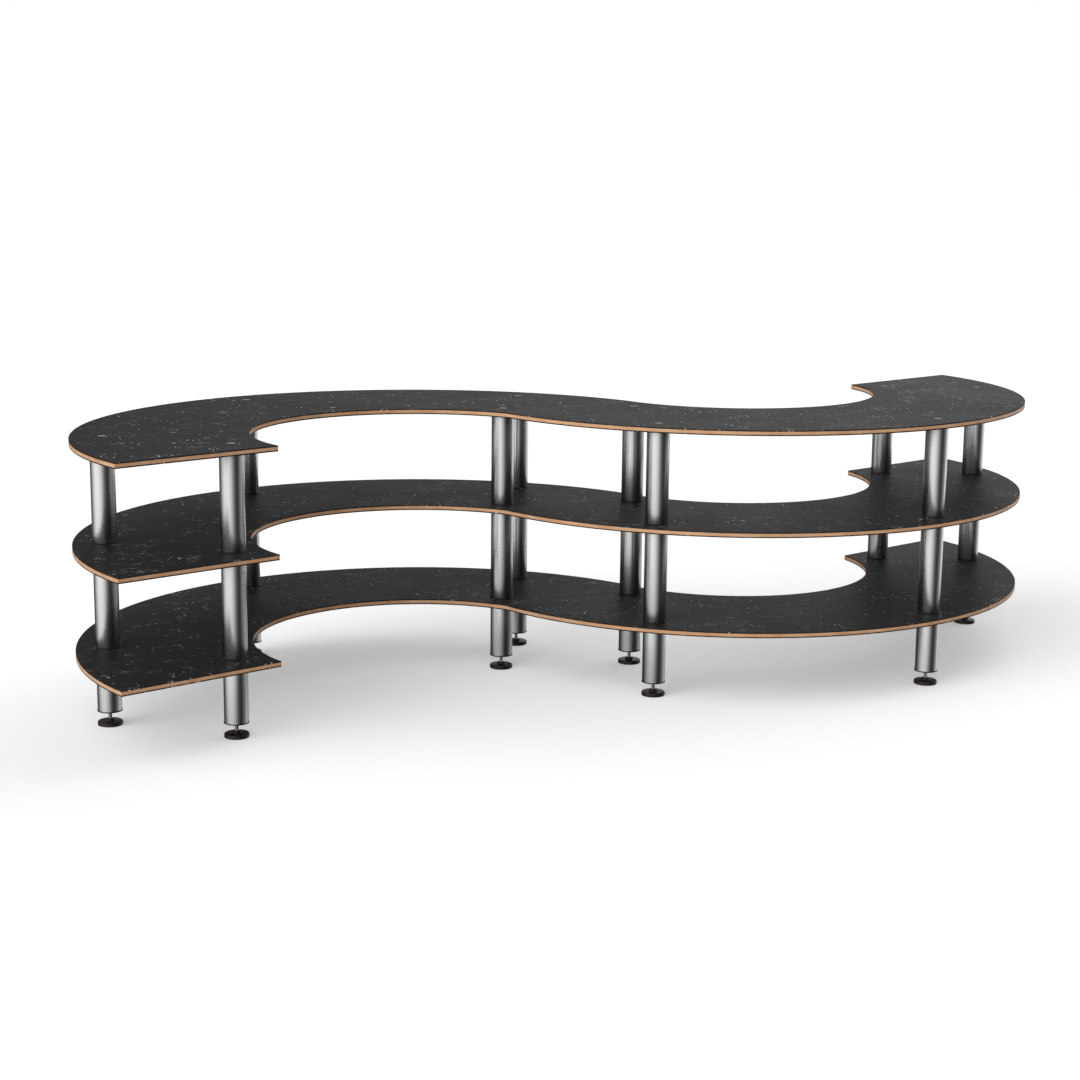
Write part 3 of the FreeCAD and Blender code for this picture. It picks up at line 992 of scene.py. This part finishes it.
def make_world():
    world = bpy.data.worlds.new("studio")
    bpy.context.scene.world = world
    world.use_nodes = True
    tree = world.node_tree
    towards = add(tree, "ShaderNodeTexCoord").outputs["Generated"]
    bearing = add(tree, "ShaderNodeTexGradient", {"Vector": towards}, gradient_type="RADIAL").outputs["Fac"]
    walls = ramp(tree, bearing, *((0.5 + degrees / 360, tone) for degrees, tone in ROOM))
    height = add(tree, "ShaderNodeSeparateXYZ", {"Vector": towards}).outputs["Z"]
    room = mix(tree, remap(tree, height, CEILING_FROM, CEILING_FULL, 0.0, 1.0), walls, linear(CEILING))
    lit = add(tree, "ShaderNodeBackground", {"Color": room, "Strength": SOFT_BOX_LEVEL})
    white = add(tree, "ShaderNodeBackground", {"Color": linear("#FFFFFF"), "Strength": 1.0})
    path = add(tree, "ShaderNodeLightPath")
    behind = ramp(tree, bearing, *((0.5 + degrees / 360, tone) for degrees, tone in BEHIND))
    mirrored = math_of(tree, "MULTIPLY", path.outputs["Is Glossy Ray"], behind)
    seen = math_of(tree, "MAXIMUM", path.outputs["Is Camera Ray"], path.outputs["Is Transmission Ray"])
    share = math_of(tree, "MAXIMUM", seen, mirrored)
    shown = add(tree, "ShaderNodeMixShader", {0: share, 1: lit.outputs[0], 2: white.outputs[0]})
    tree.links.new(shown.outputs[0], tree.nodes["World Output"].inputs["Surface"])
    tree.nodes.remove(tree.nodes["Background"])


make_world()
print("room of", len(ROOM), "tones")

# %% Side lamp
SIDE_LEVEL = 0.33
SIDE_HEIGHT = math.radians(12)
SIDE_SPREAD = math.radians(50)


def make_side_lamp():
    """A low, soft light from -X for the boards' edges; mirror images see the room's soft box instead."""
    data = bpy.data.lights.new("side_light", "SUN")
    data.energy = SIDE_LEVEL * math.pi
    data.angle = SIDE_SPREAD
    lamp = bpy.data.objects.new("side_light", data)
    lamp.rotation_euler = (0, SIDE_HEIGHT - math.pi / 2, 0)
    lamp.visible_glossy = False
    bpy.context.scene.collection.objects.link(lamp)
    print("side light at", round(math.degrees(SIDE_HEIGHT)), "degrees")


make_side_lamp()
bpy.context.scene.view_settings.view_transform = "Standard"

# %% [markdown]
# ## Camera
# The photograph's camera was worked out from the arcs of the three tiers: where it stands, where it
# points, a slight roll, and a focal length in pixels of a 1080 pixel frame.

# %% Camera of the photograph
CAMERA_PLACE = (-4.5996, -5.062, 1.7933)
CAMERA_HEADING = math.radians(41.059)
CAMERA_PITCH = math.radians(11.124)
CAMERA_ROLL = math.radians(0.587)
FOCAL_PIXELS = 2046.3
FRAME_PIXELS = 1080.0
SENSOR_WIDTH = 36.0


def make_camera():
    data = bpy.data.cameras.new("camera")
    data.sensor_fit = "HORIZONTAL"
    data.sensor_width = SENSOR_WIDTH
    data.lens = SENSOR_WIDTH * FOCAL_PIXELS / FRAME_PIXELS
    level = math.cos(CAMERA_PITCH)
    ahead = Vector(
        (math.sin(CAMERA_HEADING) * level, math.cos(CAMERA_HEADING) * level, -math.sin(CAMERA_PITCH))
    )
    right = Vector((math.cos(CAMERA_HEADING), -math.sin(CAMERA_HEADING), 0))
    up = right.cross(ahead)
    tilted_right = right * math.cos(CAMERA_ROLL) + up * math.sin(CAMERA_ROLL)
    tilted_up = up * math.cos(CAMERA_ROLL) - right * math.sin(CAMERA_ROLL)
    axes = Matrix((tilted_right, tilted_up, -ahead)).transposed().to_4x4()
    camera = bpy.data.objects.new("camera", data)
    camera.matrix_world = Matrix.Translation(CAMERA_PLACE) @ axes
    bpy.context.scene.collection.objects.link(camera)
    bpy.context.scene.camera = camera
    return camera


print("lens", round(make_camera().data.lens, 2), "mm")
